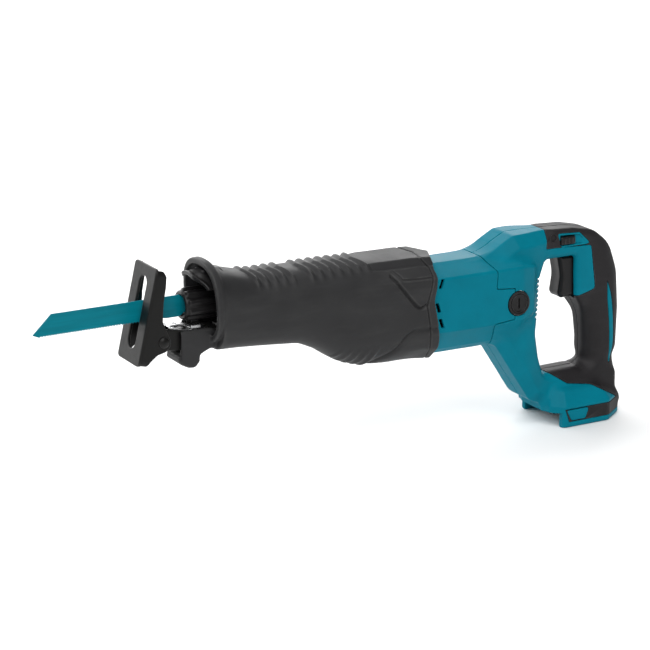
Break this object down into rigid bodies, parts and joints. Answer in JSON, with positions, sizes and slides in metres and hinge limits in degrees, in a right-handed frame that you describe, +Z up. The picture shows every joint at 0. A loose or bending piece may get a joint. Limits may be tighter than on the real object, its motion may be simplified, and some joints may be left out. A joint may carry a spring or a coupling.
{
  "type": "reciprocating saw",
  "caption": "Cordless reciprocating saw with D-handle, rubber boot, blade clamp, tilting slotted shoe and scotch-yoke drive; no battery.",
  "frame": {"origin": "centre of the bottom of the whole saw, under the battery foot", "axes": "+X from blade to handle, +Y across the saw, +Z up; the blade strokes along X"},
  "size_m": [0.5824, 0.0806, 0.2024],
  "materials": {
    "blade_paint": "satin paint on blade steel",
    "boot_rubber": "matte moulded rubber",
    "grip_rubber": "matte soft overmould",
    "housing_plastic": "fine satin moulded nylon",
    "black_plastic": "fine matte moulded",
    "shoe_steel": "black phosphated steel",
    "bright_steel": "ground and polished",
    "cast_aluminium": "as cast",
    "dark_iron": "dark laminated iron",
    "copper": "turned copper",
    "carbon": "pressed graphite",
    "brass": "stamped and turned",
    "screw_steel": "black zinc"
  },
  "bodies": {
    "body": {"nose_guard": "black_plastic", "boot": "boot_rubber", "gear_case": "cast_aluminium", "gear_case_cover": "cast_aluminium", "front_bush": "brass", "rear_bush": "brass", "slider_seal": "grip_rubber", "crank_bearing": "bright_steel", "front_bearing": "bright_steel", "rear_bearing": "bright_steel", "motor_can": "dark_iron", "magnet_left": "dark_iron", "brush_holder_left": "brass", "carbon_brush_left": "carbon", "handle_left": "housing_plastic", "grip_cover_left": "grip_rubber", "magnet_right": "dark_iron", "brush_holder_right": "brass", "carbon_brush_right": "carbon", "handle_right": "housing_plastic", "grip_cover_right": "grip_rubber", "motor_housing": "housing_plastic", "switch_body": "black_plastic", "terminal_block": "black_plastic", "handle_screw_1": "screw_steel", "handle_screw_2": "screw_steel", "handle_screw_3": "screw_steel", "handle_screw_4": "screw_steel", "handle_screw_5": "screw_steel"},
    "plunger": {"slider": "bright_steel", "blade_holder": "bright_steel", "clamp_pin": "bright_steel", "clamp_spring": "bright_steel", "blade": "blade_paint"},
    "clamp": {"clamp_sleeve": "black_plastic"},
    "crank": {"crank_gear": "bright_steel", "crank_shaft": "bright_steel", "crank_pin": "bright_steel", "crank_roller": "bright_steel"},
    "armature": {"bevel_pinion": "bright_steel", "armature_shaft": "bright_steel", "armature_core": "dark_iron", "commutator": "copper", "motor_fan": "black_plastic"},
    "shoe_carrier": {"shoe_bar": "shoe_steel", "bar_spring": "bright_steel"},
    "shoe_plate": {"shoe": "shoe_steel", "shoe_pin": "shoe_steel"},
    "trigger": {"trigger": "black_plastic"},
    "lock_button": {"lock_button": "black_plastic"},
    "shoe_button": {"shoe_button": "black_plastic"},
    "brush_cap_left": {"brush_cap_left": "black_plastic"},
    "brush_cap_right": {"brush_cap_right": "black_plastic"}
  },
  "joints": [
    {"name": "blade_stroke", "type": "slide", "parent": "body", "child": "plunger", "axis": [-1, 0, 0], "range_m": [-0.016, 0.016]},
    {"name": "crank_turn", "type": "hinge", "parent": "body", "child": "crank", "pos_m": [0.0168, 0, 0.133], "axis": [0, 0, 1], "range_deg": [-90.5, 90.5]},
    {"name": "armature_turn", "type": "hinge", "parent": "body", "child": "armature", "pos_m": [0.10479, 0, 0.128], "axis": [1, 0, 0], "range_deg": [-452, 452]},
    {"name": "clamp_turn", "type": "hinge", "parent": "plunger", "child": "clamp", "pos_m": [-0.1382, 0, 0.163], "axis": [1, 0, 0], "range_deg": [0, 60], "stiffness_Nm_per_rad": 0.08},
    {"name": "shoe_reach", "type": "slide", "parent": "body", "child": "shoe_carrier", "axis": [-1, 0, 0], "range_m": [0, 0.025]},
    {"name": "shoe_tilt", "type": "hinge", "parent": "shoe_carrier", "child": "shoe_plate", "pos_m": [-0.18221, 0, 0.1395], "axis": [0, 1, 0], "range_deg": [-25, 8]},
    {"name": "trigger_pull", "type": "slide", "parent": "body", "child": "trigger", "axis": [1, 0, 0], "range_m": [0, 0.006], "stiffness_N_per_m": 1200, "springref_m": -0.001},
    {"name": "lock_button_push", "type": "slide", "parent": "body", "child": "lock_button", "axis": [0, 1, 0], "range_m": [-0.0035, 0.0035]},
    {"name": "shoe_button_push", "type": "slide", "parent": "body", "child": "shoe_button", "axis": [0, 1, 0], "range_m": [-0.003, 0]},
    {"name": "brush_cap_left_turn", "type": "hinge", "parent": "body", "child": "brush_cap_left", "pos_m": [0.16179, -0.036, 0.1283], "axis": [0, 1, 0], "continuous": true},
    {"name": "brush_cap_right_turn", "type": "hinge", "parent": "body", "child": "brush_cap_right", "pos_m": [0.16179, 0.036, 0.1283], "axis": [0, 1, 0], "continuous": true}
  ],
  "couplings": [
    {"joint": "crank_turn", "follows": "blade_stroke", "rad_per_m": 98.175},
    {"joint": "armature_turn", "follows": "blade_stroke", "rad_per_m": -490.87}
  ]
}
